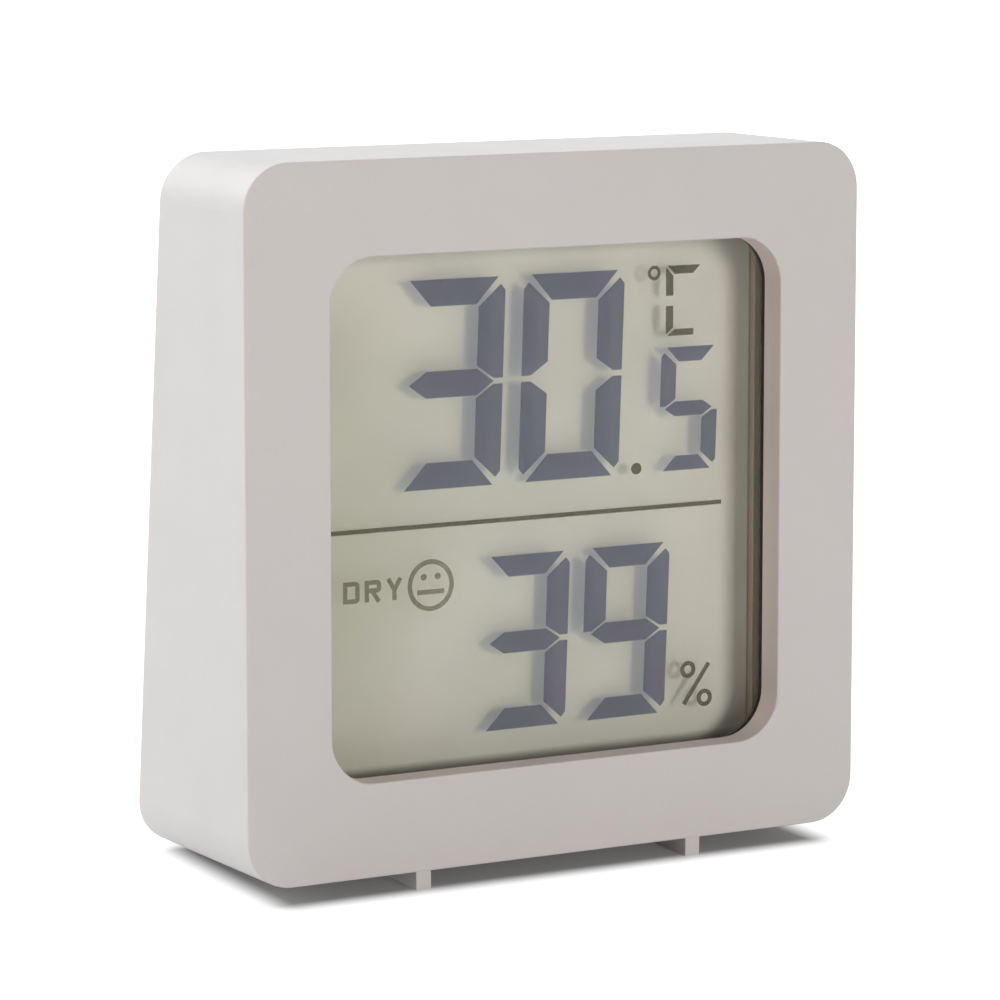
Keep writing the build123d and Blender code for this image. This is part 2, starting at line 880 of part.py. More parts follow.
with BuildPart() as resistors:
    for place in range(resistor_count):
        centre = (resistor_place[0] + place * resistor_pitch, resistor_place[1])
        slab(resistor_size[:2], centre, board_back, resistor_size[2])
resistors.part.label = "resistors"


def add_screw(place, seat, length):
    """Adds a pan-head screw whose head rests at a depth and whose tip points forwards."""
    rods(screw_radius, [place], seat - length, length)
    rods(head_radius, [place], seat, head_height)
    fillet(faces(Select.LAST).sort_by(Axis(face.origin, -face.z_dir))[-1].edges(), head_round)
    slab(cross_size, place, seat + head_height - cross_depth, cross_depth, Mode.SUBTRACT)
    slab(cross_size[::-1], place, seat + head_height - cross_depth, cross_depth, Mode.SUBTRACT)


# Four screws through the rear cover and two that hold the board
with BuildPart() as case_screws:
    for place in boss_places:
        add_screw(place, rear_depth(place[1]) - head_sink, case_screw_length)
case_screws.part.label = "case_screws"

with BuildPart() as board_screws:
    for place in post_places:
        add_screw(place, board_back, board_screw_length)
board_screws.part.label = "board_screws"

# Tactile switch: body with a well, and the plunger that the unit button pushes
switch_place = from_rear(button_place)
switch_back = board_back + switch_size[1]
plunger_well = plunger_root + button_travel + fit_gap
well_radius = plunger_radius + running_gap
with BuildPart() as switch_body:
    slab((switch_size[0], switch_size[0]), switch_place, board_back, switch_size[1])
    rods(well_radius, [switch_place], switch_back - plunger_well, plunger_well, Mode.SUBTRACT)
switch_body.part.label = "switch_body"

plunger_tip = switch_back + plunger_proud
with BuildPart() as switch_plunger:
    rods(plunger_radius, [switch_place], switch_back - plunger_root, plunger_root + plunger_proud)
switch_plunger.part.label = "switch_plunger"

# Unit button: a cap kept in by its flange, on a stem that meets the plunger
button_flange_radius = button_radius + button_flange[0]
button_flange_height = button_flange[1]
cover_inner = rear_depth(switch_place[1]) - cover_thickness / cos(radians(rear_angle))
flange_back = cover_inner - button_flange_radius * rear_slope - running_gap
with BuildPart() as unit_button:
    rods(button_radius, [switch_place], flange_back, base_depth)
    split(bisect_by=rear.offset(button_proud), keep=Keep.BOTTOM)
    rods(button_flange_radius, [switch_place], flange_back - button_flange_height, button_flange_height)
    stem_tip = plunger_tip + touch_gap
    rods(
        button_stem_radius,
        [switch_place],
        stem_tip,
        flange_back - button_flange_height - stem_tip,
    )
unit_button.part.label = "unit_button"

# Coin cell: can towards the door, smaller cap towards the board
with BuildPart() as coin_cell:
    with BuildSketch(door_plane.offset(-cell_top)):
        Circle(cell_radius)
    extrude(amount=cell_cap_height - cell_height)
    fillet(coin_cell.faces().sort_by(Axis(rear.origin, rear.z_dir))[-1].edges(), cell_cap_height)
    with BuildSketch(door_plane.offset(cell_cap_height - cell_height - cell_top)):
        Circle(cell_cap_radius)
    extrude(amount=-cell_cap_height)
coin_cell.part.label = "coin_cell"

# Contacts: each a bent strip from the bay to a foot on the board
half_strip = contact_thickness / 2
bay_bottom = -bay_depth + half_strip
leaf_top = -cell_top - cell_height - half_strip
foot_depth = board_back + half_strip
leaf = [
    from_door(leaf_half, bay_bottom),
    from_door(leaf_crown[1], bay_bottom),
    from_door(leaf_crown[0], leaf_top),
    from_door(-leaf_crown[0], leaf_top),
    from_door(-leaf_crown[1], bay_bottom),
    from_door(-leaf_half, bay_bottom),
]
leaf.append((foot_depth, leaf[-1][1]))
leaf.append((foot_depth, leaf[-1][1] + contact_foot))
with BuildPart() as negative_contact:
    with BuildSketch(section):
        Polygon(*ribbon(leaf, contact_thickness), align=None)
    extrude(amount=contact_width / 2, both=True)
negative_contact.part.label = "negative_contact"

blade = [
    from_door(cell_radius + half_strip, -cell_top - blade_drop),
    from_door(cell_radius + half_strip, -bay_depth),
]
blade.append((foot_depth, blade[-1][1]))
blade.append((foot_depth, blade[-1][1] + contact_foot))
with BuildPart() as positive_contact:
    with BuildSketch(section):
        Polygon(*ribbon(blade, contact_thickness), align=None)
    extrude(amount=contact_width / 2, both=True)
positive_contact.part.label = "positive_contact"

pieces = [
    front_housing,
    rear_cover,
    battery_door,
    window_adhesive,
    display_window,
    display_gasket,
    front_polarizer,
    front_glass,
    glass_seal,
    rear_glass,
    rear_polarizer,
    reflector,
    temperature_digits,
    humidity_digits,
    divider_line,
    unit_signs,
    comfort_symbol,
    state_word,
    display_frame,
    contact_strip,
    circuit_board,
    controller_blob,
    sensor,
    crystal,
    capacitors,
    resistors,
    case_screws,
    board_screws,
    switch_body,
    switch_plunger,
    unit_button,
    coin_cell,
    negative_contact,
    positive_contact,
]
for piece in pieces:
    export_step(piece.part, f"parts/{piece.part.label}.step")
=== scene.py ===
import json
from math import cos, pi, radians, sin

import bmesh
import bpy
from mathutils import Matrix, Vector


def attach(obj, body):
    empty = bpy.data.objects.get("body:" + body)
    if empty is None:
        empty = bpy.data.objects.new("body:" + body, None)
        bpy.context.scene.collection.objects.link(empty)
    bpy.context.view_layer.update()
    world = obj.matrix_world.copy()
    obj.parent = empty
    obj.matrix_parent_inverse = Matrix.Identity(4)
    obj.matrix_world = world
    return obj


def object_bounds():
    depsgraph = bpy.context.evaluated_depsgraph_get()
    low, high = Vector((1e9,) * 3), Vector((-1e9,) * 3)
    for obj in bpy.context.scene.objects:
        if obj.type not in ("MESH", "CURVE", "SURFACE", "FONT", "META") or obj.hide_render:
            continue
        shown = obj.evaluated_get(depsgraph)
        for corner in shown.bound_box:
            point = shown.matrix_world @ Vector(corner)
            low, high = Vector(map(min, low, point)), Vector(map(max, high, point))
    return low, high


# A small square desk thermometer and humidity meter on a white table, in a soft white studio.
# Everything is in metres, in the model's own frame: the display faces -Y and +Z is up.

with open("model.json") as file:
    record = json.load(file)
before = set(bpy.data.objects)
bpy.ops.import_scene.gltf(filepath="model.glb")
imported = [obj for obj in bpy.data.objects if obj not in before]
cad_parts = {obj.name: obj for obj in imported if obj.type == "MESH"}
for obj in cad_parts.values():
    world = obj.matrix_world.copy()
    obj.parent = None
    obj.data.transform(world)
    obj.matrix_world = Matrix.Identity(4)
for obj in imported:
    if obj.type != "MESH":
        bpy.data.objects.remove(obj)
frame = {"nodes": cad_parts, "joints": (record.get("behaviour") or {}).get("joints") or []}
cad_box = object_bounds()
nodes = frame["nodes"]
scene = bpy.context.scene
scene.view_settings.view_transform = "Standard"
mm = 0.001
pure_white = (1, 1, 1, 1)

# Camera, at the photograph's angle
camera_place = Vector((-153.89, -266.34, 79.70)) * mm
camera_azimuth = radians(29.95)
camera_elevation = radians(10.25)
camera_roll = radians(1.21)
camera_lens = 165.375

# Lamps: name, azimuth and elevation in degrees, distance, size, the level that a white surface facing
# the lamp shows, and colour
lamps = [
    ("top_softbox", 180, 75, 0.5, 0.45, 0.46, (0.965, 0.985, 1.0)),
    ("left_softbox", -105, 8, 0.5, 0.4, 0.58, (0.96, 0.99, 1.0)),
    ("key", 6.5, 9.5, 0.45, 0.11, 0.345, (0.965, 0.9, 0.88)),
    ("rear_softbox", 205, 30, 0.5, 0.4, 0.33, (1.0, 1.0, 1.0)),
    ("right_softbox", 108, 14, 0.5, 0.4, 0.34, (1.0, 0.99, 0.98)),
]

# Studio's own light from all sides
sky_level = 0.24
sky_colour = (1.0, 0.955, 0.93)

# Floor: its width, and how much it scatters as light for the rest and where it is seen
floor_size = 3.0
floor_scatter = 0.7
floor_seen = 0.42

# White that the floor adds where it is seen, held back under the object and close round it as a painted
# shadow over which the real shadow shows: the white in that painted shadow, how far inside the object's
# sides and front it ends, the white past it and the distances over which that white rises, and the white
# far from the object
painted_shadow_white = 0.01
painted_shadow_inset = (3.6 * mm, 0.7 * mm)
white_past_painted_shadow = 0.9
painted_shadow_reach = (-0.4 * mm, 2.8 * mm)
far_white = 0.3
far_reach = (50 * mm, 400 * mm)

# Leaning front face: its lean, and the middle of its lower edge in Y and Z
face_lean = radians(2.4)
face_foot = (-8.4925 * mm, 1.25 * mm)

# Window's recess, whose walls get a warmer painted tone for the light there: how far behind the front face
# that tone starts, how far it reaches to each side and up, and between which heights painted shade darkens
# its lower wall
recess_start = (0.06 * mm, 0.2 * mm)
recess_side = 18 * mm
recess_span = (7 * mm, 44 * mm)
sill_painted_shade_span = (8.6 * mm, 7.6 * mm)

# Tray round the display: where the painted light and shade on its inner wall turns from pale far inside to
# dark towards the front, measured back from the leaning front face
tray_painted_light_span = (5.6 * mm, 2.8 * mm)

# Middle part of a noise's values, where most of them lie
noise_span = (0.35, 0.65)

# Moulded plastic: the sizes of its clouds, handling marks and pits, the last in grains, and how its
# clouds, its specks and the painted shade on the recess's lower wall shade its colour
cloud_size = 12 * mm
smudge_size = 4 * mm
pit_grains = 1.7
cloud_shades = (0.985, 1.015)
speck_share = 0.25
speck_shade = 0.93
sill_painted_shade = 0.8

# Clear sheets: their clouds and how these shade the tint, their waves, and the colour, size and fading
# edge of their dust, which lies thickest in its specks and thinnest between them, in multiples of the haze
sheet_cloud_size = 7 * mm
sheet_shade = 0.995
wave_size = 0.9 * mm
wave_depth = 0.0004 * mm
dust_colour = (0.8, 0.8, 0.78)
dust_size = 1.1 * mm
dust_edge = (0.03, 0.06)
dust_thickest = 6
dust_thinnest = 0.6

# Metal: its stains and how these shade its colour
stain_size = 3 * mm
stain_shades = (0.9, 1.06)

# Foam: the size, relief and tones of its pores, and between which distances from a pore's middle the
# tone changes
pore_size = 0.22 * mm
pore_depth = 0.03 * mm
pore_edge = (0.1, 0.6)
pore_tones = ((0.10, 0.085, 0.07), (0.14, 0.12, 0.10))

# Display ground: its clouds and satin grain, where it is a little darker towards its left edge, where
# painted light makes it paler at its top and right, and where painted shade darkens its lower edge
ground_cloud_size = 9 * mm
ground_tones = ((0.83, 0.84, 0.78), (0.87, 0.87, 0.84))
satin_size = 0.12 * mm
satin_depth = 0.002 * mm
satin_share = 0.14
satin_tone = (0.68, 0.68, 0.64)
left_band = (-3 * mm, -15 * mm)
left_share = 0.35
left_tone = (0.60, 0.60, 0.45)
painted_light_top = (33 * mm, 42 * mm)
painted_light_top_share = 0.9
painted_light_right = (8 * mm, 20 * mm)
painted_light_tone = (0.98, 0.97, 0.93)
lower_painted_shade_band = (7.2 * mm, 6.5 * mm)
lower_painted_shade_kept = 0.35
lower_painted_shade_tone = (0.05, 0.04, 0.03)

# Lit parts of the display: the sizes of their clouds and grain, and the least share that is seen
# through them, as a part of the greatest
ink_cloud_size = 3.5 * mm
ink_grain = 0.1 * mm
ink_depth = 0.001 * mm
ink_least = 0.92

# Circuit board: the relief and tones of its glass cloth and of its tracks
weave_depth = 0.004 * mm
weave_tones = ((0.015, 0.13, 0.05), (0.02, 0.16, 0.06))
track_depth = 0.02 * mm
track_share = 0.7
track_tone = (0.05, 0.26, 0.09)

# Chips on the board: their grain, its relief and how it shades their colour
chip_grain = 0.15 * mm
chip_depth = 0.004 * mm
chip_shades = (0.85, 1.1)

# Contact strip: the relief, tones and edge of its layers, and the grain of its shine
stripe_depth = 0.01 * mm
stripe_edge = (0.4, 0.6)
stripe_tones = ((0.03, 0.03, 0.032), (0.35, 0.34, 0.33))
rubber_grain = 0.1 * mm

# Passes through the display's clear layers
clear_passes = 32

# Prints on the back, placed from the battery door's axis, to the right and up as seen from behind
print_lift = 0.002 * mm
print_height = 0.02 * mm
print_stroke = 0.24 * mm

# Print of the two temperature units: its lower left corner, its height, the radius of its degree signs,
# and how far to the right the first letter's middle, the slash's ends, the second degree sign's middle
# and the second letter's stem stand, with the reach of that letter's two bars
unit_print_place = (8.7 * mm, 15.5 * mm)
unit_print_height = 1.6 * mm
degree_radius = 0.14 * unit_print_height
degree_steps = 16
first_letter_at = 1.45 * mm
first_letter_turn = (50, 310)
slash_at = (2.55 * mm, 3.25 * mm)
second_degree_at = 3.85 * mm
second_letter_at = 4.5 * mm
upper_bar_reach = 0.95 * mm
middle_bar_reach = 0.8 * mm

# Marks of the door's locked and open places: their distance from its axis, the angle at which the arrow
# points when the door is locked, half the stroke's length, and the ring's radius
lock_mark_radius = 14.3 * mm
locked_turn = 90
lock_stroke_reach = 0.7 * mm
lock_ring_radius = 0.5 * mm

# Plus sign on the battery door
plus_place = (0, -6.2 * mm)
plus_reach = 1.3 * mm

# Battery door's joint
door_joint = next(joint for joint in frame["joints"] if joint["name"] == "door_turn")
door_axis = Vector(door_joint["axis"])
door_centre = Vector(door_joint["pos_m"])
door_open_turn = door_joint["range_deg"][1]


def make_camera():
    """The camera, looking along its azimuth and elevation."""
    data = bpy.data.cameras.new("camera")
    data.lens = camera_lens
    camera = bpy.data.objects.new("camera", data)
    scene.collection.objects.link(camera)
    turn = Matrix.Rotation(-camera_azimuth, 4, "Z")
    tip = Matrix.Rotation(pi / 2 - camera_elevation, 4, "X")
    roll = Matrix.Rotation(camera_roll, 4, "Z")
    camera.matrix_world = Matrix.Translation(camera_place) @ turn @ tip @ roll
    scene.camera = camera


def add_lamp(name, azimuth, elevation, distance, size, level, colour):
    """A square lamp that looks at the object and lights a surface that faces it to this level."""
    data = bpy.data.lights.new(name, "AREA")
    data.size = size
    data.energy = level * (pi * distance) ** 2
    data.color = colour
    lamp = bpy.data.objects.new(name, data)
    scene.collection.objects.link(lamp)
    around, up = radians(azimuth), radians(elevation)
    away = Vector((sin(around) * cos(up), -cos(around) * cos(up), sin(up)))
    lamp.location = Vector((0, 0, cad_box[1].z / 2)) + away * distance
    lamp.rotation_mode = "QUATERNION"
    lamp.rotation_quaternion = away.to_track_quat("Z", "Y")


def is_output(value):
    """Whether a value is a node's output."""
    return isinstance(value, bpy.types.NodeSocket)


def add_node(tree, kind, inputs=None, **settings):
    """A shader node, with each input set to a value or joined to an output."""
    node = tree.nodes.new("ShaderNode" + kind)
    for name, value in settings.items():
        setattr(node, name, value)
    for name, value in (inputs or {}).items():
        if is_output(value):
            tree.links.new(value, node.inputs[name])
        else:
            node.inputs[name].default_value = value
    return node


def start_material(name):
    """An empty node material, its tree and the object's own coordinates."""
    material = bpy.data.materials.new(name)
    material.use_nodes = True
    tree = material.node_tree
    tree.nodes.clear()
    return material, tree, add_node(tree, "TexCoord").outputs["Object"]


def finish_material(tree, shader):
    """Joins a shader to the material's output."""
    add_node(tree, "OutputMaterial", {"Surface": shader})


def noise(tree, place, size, detail=2.0, rough=0.5):
    """Noise whose blobs are about this many metres across."""
    inputs = {"Vector": place, "Scale": 1 / size, "Detail": detail, "Roughness": rough}
    return add_node(tree, "TexNoise", inputs).outputs[0]


def cells(tree, place, size):
    """Distance from the middle of cells about this many metres across."""
    return add_node(tree, "TexVoronoi", {"Vector": place, "Scale": 1 / size}).outputs["Distance"]


def stretch(tree, place, factors):
    """Coordinates multiplied along each axis."""
    return add_node(tree, "Mapping", {"Vector": place, "Scale": factors}).outputs[0]


def axes(tree, place):
    """A place's X, Y and Z, by name."""
    return add_node(tree, "SeparateXYZ", {0: place}).outputs


def spread(tree, value, low, high, start=noise_span[0], end=noise_span[1], smooth=False):
    """Maps a value's range from start to end to the range from low to high."""
    inputs = {"Value": value, "From Min": start, "From Max": end, "To Min": low, "To Max": high}
    kind = "SMOOTHSTEP" if smooth else "LINEAR"
    return add_node(tree, "MapRange", inputs, interpolation_type=kind).outputs[0]


def sum_of(tree, operation, *values):
    """One sum on one, two or three values."""
    return add_node(tree, "Math", dict(enumerate(values)), operation=operation).outputs[0]


def product(tree, first, *rest):
    """Values multiplied by each other."""
    for value in rest:
        first = sum_of(tree, "MULTIPLY", first, value)
    return first


def opaque(colour):
    """A triple with full opacity, or an output as it is."""
    return colour if is_output(colour) else (*colour, 1)


def mix_colours(tree, share, first, second):
    """A colour between two, each a triple or an output. The node takes colours at inputs 6 and 7."""
    inputs = {0: share, 6: opaque(first), 7: opaque(second)}
    return add_node(tree, "Mix", inputs, data_type="RGBA").outputs[2]


def mix_shaders(tree, share, first, second):
    """A shader between two."""
    return add_node(tree, "MixShader", {0: share, 1: first, 2: second}).outputs[0]


def see_through(tree, colour):
    """A shader that only tints what is behind it."""
    return add_node(tree, "BsdfTransparent", {"Color": opaque(colour)}).outputs[0]


def relief(tree, height, depth, below=None):
    """Bumps of this depth in metres, from a height between 0 and 1."""
    inputs = {"Height": height, "Distance": depth}
    if below is not None:
        inputs["Normal"] = below
    return add_node(tree, "Bump", inputs).outputs[0]


def principled(tree, colour, roughness, normal, **more):
    """The main shader. More inputs are given with underscores for spaces."""
    inputs = {"Base Color": colour, "Roughness": roughness, "Normal": normal}
    inputs.update({name.replace("_", " "): value for name, value in more.items()})
    return add_node(tree, "BsdfPrincipled", inputs).outputs[0]


def shade(colour, factor):
    """A colour made lighter or darker."""
    return tuple(min(part * factor, 1) for part in colour)


def shades(colour, factors):
    """A colour at each of several shades."""
    return [shade(colour, factor) for factor in factors]


def seen_or_mirrored(tree):
    """1 on rays from the camera, a mirror or a clear body, and 0 on lighting rays."""
    path = add_node(tree, "LightPath").outputs
    seen = sum_of(tree, "MAXIMUM", path["Is Camera Ray"], path["Is Glossy Ray"])
    return sum_of(tree, "MAXIMUM", seen, path["Is Transmission Ray"])


def behind_face(tree, place):
    """How far back a place is from the leaning front face."""
    parts = axes(tree, place)
    foot_y, foot_z = face_foot
    back = product(tree, sum_of(tree, "SUBTRACT", parts["Y"], foot_y), cos(face_lean))
    down = product(tree, sum_of(tree, "SUBTRACT", parts["Z"], foot_z), sin(face_lean))
    return sum_of(tree, "SUBTRACT", back, down)


def in_recess(tree, place):
    """1 on the walls of the window's recess and 0 on the rest of the casing's outside."""
    parts = axes(tree, place)
    bottom, top = recess_span
    behind = spread(tree, behind_face(tree, place), 0, 1, *recess_start)
    beside = sum_of(tree, "LESS_THAN", sum_of(tree, "ABSOLUTE", parts["X"]), recess_side)
    above = sum_of(tree, "GREATER_THAN", parts["Z"], bottom)
    below = sum_of(tree, "LESS_THAN", parts["Z"], top)
    return product(tree, behind, beside, above, below)


def moulded(name, colour, grain=0.16 * mm, depth=0.003 * mm, roughness=(0.42, 0.54), recess=None,
            tray_painted_light=None):
    """Injection-moulded plastic: eroded grain, slight cloudiness, faint handling marks. It may have a
    warmer painted tone for the light in the window's recess, with painted shade on the recess's lower
    wall, and it may have painted light and shade on the display tray's inner wall, pale far inside and
    dark towards the front."""
    material, tree, place = start_material(name)
    cloud = noise(tree, place, cloud_size, 3)
    fine = noise(tree, place, grain, 3, 0.6)
    pits = cells(tree, place, grain * pit_grains)
    smudge = noise(tree, place, smudge_size, 4, 0.65)
    tone = mix_colours(tree, spread(tree, cloud, 0, 1), *shades(colour, cloud_shades))
    tone = mix_colours(tree, spread(tree, fine, speck_share, 0), tone, shade(colour, speck_shade))
    # A warmer painted tone for the light in the window's recess, with painted shade darkening its lower
    # wall
    if recess:
        sill_shade_share = spread(tree, axes(tree, place)["Z"], 0, 1, *sill_painted_shade_span)
        wall = mix_colours(tree, sill_shade_share, recess, shade(recess, sill_painted_shade))
        tone = mix_colours(tree, in_recess(tree, place), tone, wall)
    # Painted light and shade on the tray's inner wall: pale far inside, dark towards the front
    if tray_painted_light:
        inside = spread(tree, behind_face(tree, place), 1, 0, *tray_painted_light_span)
        tone = mix_colours(tree, inside, tone, tray_painted_light)
    gloss = spread(tree, smudge, *roughness)
    bumps = relief(tree, pits, depth, relief(tree, fine, depth))
    finish_material(tree, principled(tree, tone, gloss, bumps))
    return material


def clear(name, tint, mirror_index, haze=0.0, roughness=(0.02, 0.05)):
    """A clear sheet that lets lamps through, with a slight mirror and, with haze, specks of dust."""
    material, tree, place = start_material(name)
    cloud = noise(tree, place, sheet_cloud_size, 3)
    tinted = mix_colours(tree, spread(tree, cloud, 0, 1), tint, shade(tint, sheet_shade))
    sheet = see_through(tree, tinted)
    if haze:
        specks = spread(tree, cells(tree, place, dust_size), haze * dust_thickest, 0, *dust_edge)
        veil = sum_of(tree, "ADD", specks, spread(tree, cloud, haze * dust_thinnest, haze))
        dust = add_node(tree, "BsdfDiffuse", {"Color": opaque(dust_colour)}).outputs[0]
        sheet = mix_shaders(tree, veil, sheet, dust)
    waves = relief(tree, noise(tree, place, wave_size, 2), wave_depth)
    shine = {"Color": pure_white, "Roughness": spread(tree, cloud, *roughness), "Normal": waves}
    gloss = add_node(tree, "BsdfGlossy", shine).outputs[0]
    outside = sum_of(tree, "SUBTRACT", 1, add_node(tree, "NewGeometry").outputs["Backfacing"])
    mirror = product(tree, add_node(tree, "Fresnel", {"IOR": mirror_index}).outputs[0], outside)
    finish_material(tree, mix_shaders(tree, mirror, sheet, gloss))
    return material


def metal(name, colour, roughness=(0.22, 0.36), grain=(1, 1, 1), size=0.25 * mm, depth=0.0015 * mm):
    """Plated or bare metal with faint stains and a fine grain, which may be drawn out along an axis."""
    material, tree, place = start_material(name)
    lines = noise(tree, stretch(tree, place, grain), size, 4, 0.6)
    stain = noise(tree, place, stain_size, 3)
    tone = mix_colours(tree, spread(tree, stain, 0, 1), *shades(colour, stain_shades))
    gloss = spread(tree, lines, *roughness)
    finish_material(tree, principled(tree, tone, gloss, relief(tree, lines, depth), Metallic=1.0))
    return material


def foam(name):
    """Dark closed-cell foam."""
    material, tree, place = start_material(name)
    pores = cells(tree, place, pore_size)
    tone = mix_colours(tree, spread(tree, pores, 0, 1, *pore_edge), *pore_tones)
    gloss = spread(tree, pores, 0.75, 0.95)
    finish_material(tree, principled(tree, tone, gloss, relief(tree, pores, pore_depth)))
    return material


def display_ground(name):
    """Grey-green ground of the display: a little darker to the left, paler at its top and right with
    painted light, and dark along its lower edge with painted shade."""
    material, tree, place = start_material(name)
    parts = axes(tree, place)
    cloud = noise(tree, place, ground_cloud_size, 3)
    satin = noise(tree, place, satin_size, 3, 0.6)
    tone = mix_colours(tree, spread(tree, cloud, 0, 1), *ground_tones)
    tone = mix_colours(tree, spread(tree, satin, satin_share, 0), tone, satin_tone)
    left = spread(tree, parts["X"], 0, left_share, *left_band, smooth=True)
    tone = mix_colours(tree, left, tone, left_tone)
    # Painted light: paler towards the top and the right
    top = spread(tree, parts["Z"], 0, painted_light_top_share, *painted_light_top, smooth=True)
    right = spread(tree, parts["X"], 0, 1, *painted_light_right, smooth=True)
    tone = mix_colours(tree, sum_of(tree, "MAXIMUM", top, right), tone, painted_light_tone)
    # Painted shade: darker along the lower edge
    unshaded_share = spread(tree, parts["Z"], 1, lower_painted_shade_kept, *lower_painted_shade_band)
    tone = mix_colours(tree, unshaded_share, lower_painted_shade_tone, tone)
    gloss = spread(tree, satin, 0.4, 0.6)
    bumps = relief(tree, satin, satin_depth)
    finish_material(tree, principled(tree, tone, gloss, bumps, Specular_IOR_Level=0.2))
    return material


def display_ink(name, colour, drift, through, share, cast):
    """A lit part of the display: a dark film that is partly seen through, in a tint of its own, and that
    casts its shadow in another."""
    material, tree, place = start_material(name)
    cloud = noise(tree, place, ink_cloud_size, 3)
    fine = noise(tree, place, ink_grain, 2)
    tone = mix_colours(tree, spread(tree, cloud, 0, 1), colour, drift)
    gloss = spread(tree, fine, 0.45, 0.6)
    film = principled(tree, tone, gloss, relief(tree, fine, ink_depth), Specular_IOR_Level=0.1)
    seen = spread(tree, cloud, share * ink_least, share)
    ink = mix_shaders(tree, seen, film, see_through(tree, through))
    lighting = add_node(tree, "LightPath").outputs["Is Shadow Ray"]
    finish_material(tree, mix_shaders(tree, lighting, ink, see_through(tree, cast)))
    return material


def laminate(name):
    """Circuit board: green lacquer over glass cloth, with tracks under it."""
    material, tree, place = start_material(name)
    cloth = {"Vector": place, "Scale": 120, "Distortion": 0.4}
    weave = add_node(tree, "TexWave", cloth).outputs[1]
    copper = {"Vector": place, "Scale": 260, "Mortar Size": 0.06, "Mortar Smooth": 0.2}
    tracks = add_node(tree, "TexBrick", copper).outputs[1]
    tone = mix_colours(tree, weave, *weave_tones)
    tone = mix_colours(tree, product(tree, tracks, track_share), tone, track_tone)
    gloss = spread(tree, weave, 0.25, 0.35, 0, 1)
    bumps = relief(tree, tracks, track_depth, relief(tree, weave, weave_depth))
    finish_material(tree, principled(tree, tone, gloss, bumps))
    return material


def banded(name, body, ends, axis, pitch, offset, half_length, end_length):
    """Small chips whose two ends are tinned, repeated along an axis at a pitch."""
    material, tree, place = start_material(name)
    along = sum_of(tree, "SUBTRACT", axes(tree, place)[axis], offset)
    reach = sum_of(tree, "ABSOLUTE", sum_of(tree, "WRAP", along, pitch / 2, -pitch / 2))
    tinned = sum_of(tree, "GREATER_THAN", reach, half_length - end_length)
    fine = noise(tree, place, chip_grain, 3)
    tone = mix_colours(tree, spread(tree, fine, 0, 1), *shades(body, chip_shades))
    tone = mix_colours(tree, tinned, tone, ends)
    gloss = spread(tree, fine, 0.3, 0.5)
    bumps = relief(tree, fine, chip_depth)
    finish_material(tree, principled(tree, tone, gloss, bumps, Metallic=tinned))
    return material


def striped_rubber(name):
    """Contact strip: thin conducting layers between soft grey ones."""
    material, tree, place = start_material(name)
    stripes = {"Vector": place, "Scale": 1600, "Distortion": 0.1}
    layers = add_node(tree, "TexWave", stripes).outputs[1]
    tone = mix_colours(tree, spread(tree, layers, 0, 1, *stripe_edge), *stripe_tones)
    gloss = spread(tree, noise(tree, place, rubber_grain, 2), 0.6, 0.8)
    finish_material(tree, principled(tree, tone, gloss, relief(tree, layers, stripe_depth)))
    return material


def make_world():
    """A white studio: an even soft light, and white where it is seen or mirrored."""
    world = bpy.data.worlds.new("studio")
    world.use_nodes = True
    tree = world.node_tree
    tree.nodes.clear()
    soft = add_node(tree, "Background", {"Color": opaque(sky_colour), "Strength": sky_level}).outputs[0]
    white = add_node(tree, "Background", {"Color": pure_white, "Strength": 1.0}).outputs[0]
    add_node(tree, "OutputWorld", {"Surface": mix_shaders(tree, seen_or_mirrored(tree), soft, white)})
    scene.world = world


def make_floor():
    """A white table that keeps the object's shadow, with a painted shadow under and close round the
    object.
    """
    mesh = bpy.data.meshes.new("floor")
    half = floor_size / 2
    corners = [(-half, -half, 0), (half, -half, 0), (half, half, 0), (-half, half, 0)]
    mesh.from_pydata(corners, [], [(0, 1, 2, 3)])
    floor = bpy.data.objects.new("floor", mesh)
    scene.collection.objects.link(floor)
    material, tree, place = start_material("table_white")
    parts = axes(tree, place)
    beyond = []
    for axis, reach, inset in zip("XY", cad_box[1], painted_shadow_inset):
        past = sum_of(tree, "SUBTRACT", sum_of(tree, "ABSOLUTE", parts[axis]), reach - inset)
        beyond.append(sum_of(tree, "POWER", sum_of(tree, "MAXIMUM", past, 0), 2))
    distance = sum_of(tree, "SQRT", sum_of(tree, "ADD", *beyond))
    # Under the object and close round it the added white is held back: a painted shadow, over which the
    # real shadow shows
    white_round_painted_shadow = spread(tree, distance, painted_shadow_white, painted_shadow_white + white_past_painted_shadow, *painted_shadow_reach, smooth=True)
    far = spread(tree, distance, 0, far_white, *far_reach)
    seen = seen_or_mirrored(tree)
    strength = product(tree, sum_of(tree, "ADD", white_round_painted_shadow, far), seen)
    tone = mix_colours(tree, seen, (floor_scatter,) * 3, (floor_seen,) * 3)
    scatter = add_node(tree, "BsdfDiffuse", {"Color": tone}).outputs[0]
    white = add_node(tree, "Emission", {"Color": pure_white, "Strength": strength}).outputs[0]
    finish_material(tree, add_node(tree, "AddShader", {0: scatter, 1: white}).outputs[0])
    mesh.materials.append(material)


def on_back(place, lift):
    """A point over the sloping back, from a place to the right and up as seen from behind."""
    right = Vector((-1, 0, 0))
    return door_centre + right * place[0] + door_axis.cross(right) * place[1] + door_axis * lift


def stroke_sides(points, closed):
    """Two lines of points half a stroke to each side of a line of points."""
    sides = ([], [])
    count = len(points)
    for index, point in enumerate(points):
        before = points[index - 1] if closed or index else None
        after = points[(index + 1) % count] if closed or index < count - 1 else None
        ways = []
        for start, end in ((before, point), (point, after)):
            if start is not None and end is not None:
                ways.append((Vector(end) - Vector(start)).normalized().orthogonal())
        way = sum(ways, Vector((0, 0)))
        step = way * print_stroke / way.length_squared * (len(ways) / 2)
        sides[0].append(Vector(point) + step)
        sides[1].append(Vector(point) - step)
    return sides


